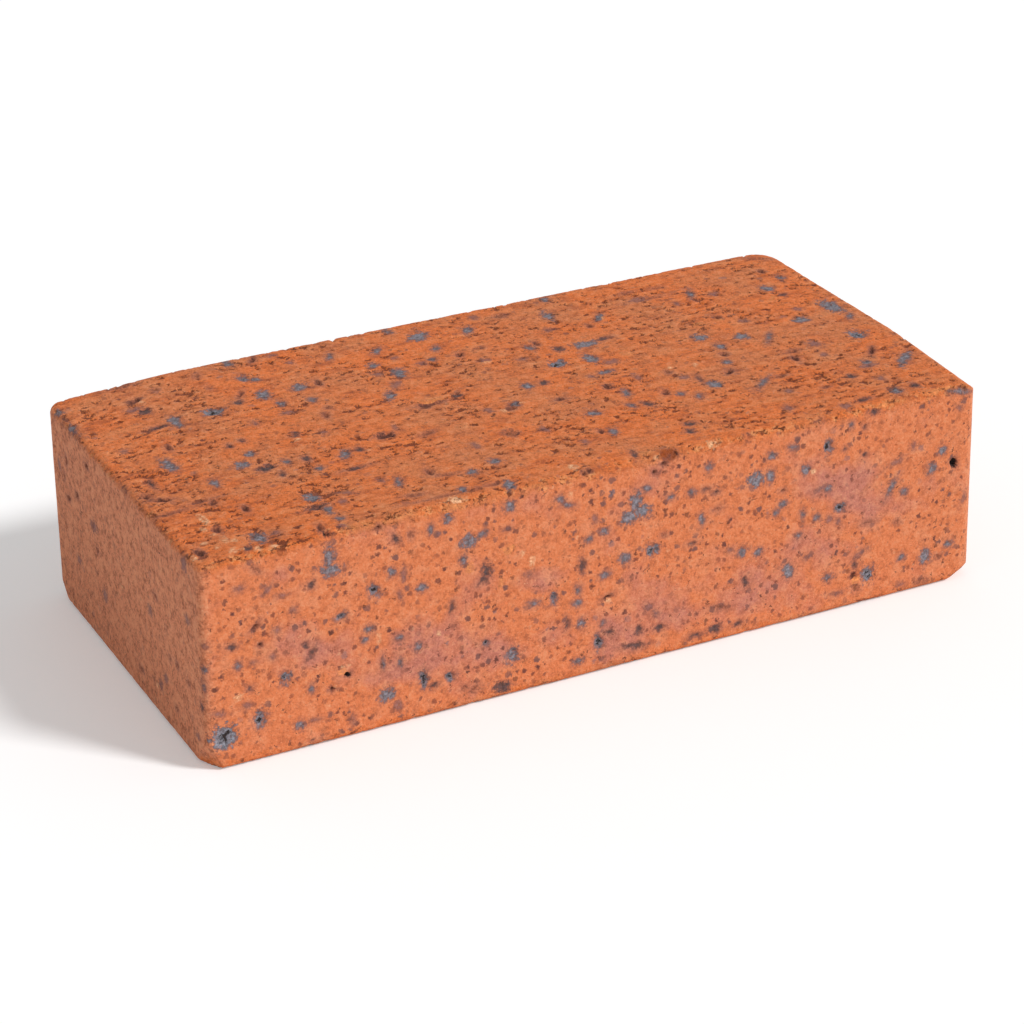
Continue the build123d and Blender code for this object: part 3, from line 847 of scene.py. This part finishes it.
    mark_colour = add(tree, "Mix", SHADE, 1.0, mark_colour, flecked)
    colour = add(tree, "Mix", COLOUR, body, colour, mark_colour)
    # Painted shadow: the black at the middle of a hole or of a pitted mark
    hollow = add(tree, "Math", PLUS, hole, 1.75)
    hollow = add(tree, "Math", MINUS, hollow, reach)
    hollow = add(tree, "MapRange", {}, hollow, -0.15, 0.15, 0.0, 1.0)
    has_hole = add(tree, "MapRange", {}, hole, 0.0, 0.1, 0.0, 1.0)
    hollow = add(tree, "Math", TIMES, hollow, has_hole)
    colour = add(tree, "Mix", COLOUR, hollow, colour, linear("241512"))

    tree.links.new(colour.outputs["Result"], shader.inputs["Base Color"])
    shader.inputs["Roughness"].default_value = 0.9

    # The clay's tooth, about 0.1 mm, is too fine to show, so it is drawn at 0.5 mm
    tooth = add(tree, "TexNoise", {}, place, 1 / 0.5, 3.0, 0.7)
    tooth_size = add(tree, "MapRange", {}, bed, 0.0, 1.0, 0.28, 0.55)
    bump = add(tree, "Math", TIMES, tooth, tooth_size)
    bump = add(tree, "Math", TIMES_PLUS, mottle, tooth_size, bump)
    for hollowed, deep in ((nicks, -0.30), (torn, -0.35), (shaded_gaps, -0.40), (hollow, -0.30)):
        bump = add(tree, "Math", TIMES_PLUS, hollowed, deep, bump)
    bump = add(tree, "Bump", {}, 1.0, MM, Height=bump)
    tree.links.new(bump.outputs["Normal"], shader.inputs["Normal"])
    return clay


def set_camera():
    """The camera at the picture's viewing angle."""
    azimuth = math.radians(camera_azimuth)
    elevation = math.radians(camera_elevation)
    level = math.cos(elevation)
    back = Vector((math.sin(azimuth) * level, -math.cos(azimuth) * level, math.sin(elevation)))
    bpy.ops.object.camera_add()
    camera = bpy.context.active_object
    camera.name = "camera"
    camera.data.lens = focal_length
    camera.data.sensor_width = sensor_width
    camera.data.clip_start = 0.05
    camera.location = (Vector(camera_aim) + back * camera_distance) * MM
    camera.rotation_mode = "QUATERNION"
    roll = Quaternion((0, 0, 1), math.radians(camera_roll))
    camera.rotation_quaternion = (-back).to_track_quat("-Z", "Y") @ roll
    bpy.context.scene.camera = camera


def set_studio():
    """A white floor, a white room and one large lamp, from the front and the right."""
    bpy.ops.mesh.primitive_plane_add(size=8)
    floor = bpy.context.active_object
    floor.name = "studio_floor"

    # Uncoated backdrop paper: matt, so it keeps the brick's shadow and shows no reflection
    paper = bpy.data.materials.new("matt_white_paper")
    paper.use_nodes = True
    tree = paper.node_tree
    shader = tree.nodes["Principled BSDF"]
    shader.inputs["Base Color"].default_value = (paper_white, paper_white, paper_white, 1)
    shader.inputs["Roughness"].default_value = 0.95
    shader.inputs["Specular IOR Level"].default_value = 0.0
    sight = add(tree, "LightPath", {})
    seen = add(tree, "Math", {"operation": "MAXIMUM"}, sight, sight.outputs["Is Glossy Ray"])
    seen = add(tree, "Math", {"operation": "MAXIMUM"}, seen, sight.outputs["Is Transmission Ray"])
    glow = add(tree, "Emission", {}, (1, 1, 1, 1), paper_glow)
    shown = add(tree, "AddShader", {}, shader.outputs[0], glow)
    both = add(tree, "MixShader", {}, seen, shader.outputs[0], shown)
    tree.links.new(both.outputs[0], tree.nodes["Material Output"].inputs["Surface"])
    floor.data.materials.append(paper)

    # The room is pure white where it is seen or mirrored, and lights the brick less than that
    world = bpy.data.worlds.new("white_room")
    bpy.context.scene.world = world
    world.use_nodes = True
    tree = world.node_tree
    sight = add(tree, "LightPath", {})
    seen = add(tree, "Math", {"operation": "MAXIMUM"}, sight, sight.outputs["Is Glossy Ray"])
    seen = add(tree, "Math", {"operation": "MAXIMUM"}, seen, sight.outputs["Is Transmission Ray"])
    level = add(tree, "MapRange", {}, seen, 0.0, 1.0, room_light, 1.0)
    room = tree.nodes["Background"]
    room.inputs["Color"].default_value = (1, 1, 1, 1)
    tree.links.new(level.outputs[0], room.inputs["Strength"])

    bpy.ops.object.light_add(type="SUN")
    lamp = bpy.context.active_object
    lamp.name = "large_softbox"
    lamp.data.energy = lamp_strength
    lamp.data.angle = lamp_spread
    lamp.rotation_mode = "QUATERNION"
    lamp.rotation_quaternion = (-Vector(lamp_direction)).to_track_quat("-Z", "Y")
    bpy.context.scene.view_settings.view_transform = "Standard"


set_camera()
set_studio()

marks = all_marks()
brick = wire_cut_block()
apply_modifier(brick, "REMESH", mode="VOXEL", voxel_size=clay_grain * MM)
survey(brick.data, marks)
press_relief(brick)
apply_modifier(brick, "TRIANGULATE")
apply_modifier(brick, "DECIMATE", ratio=kept_faces / len(brick.data.polygons))
show_marks(brick.data, marks)
lay_flat(brick.data)
for polygon in brick.data.polygons:
    polygon.use_smooth = True
brick.data.materials.append(fired_clay())
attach(brick, "root")
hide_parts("brick")
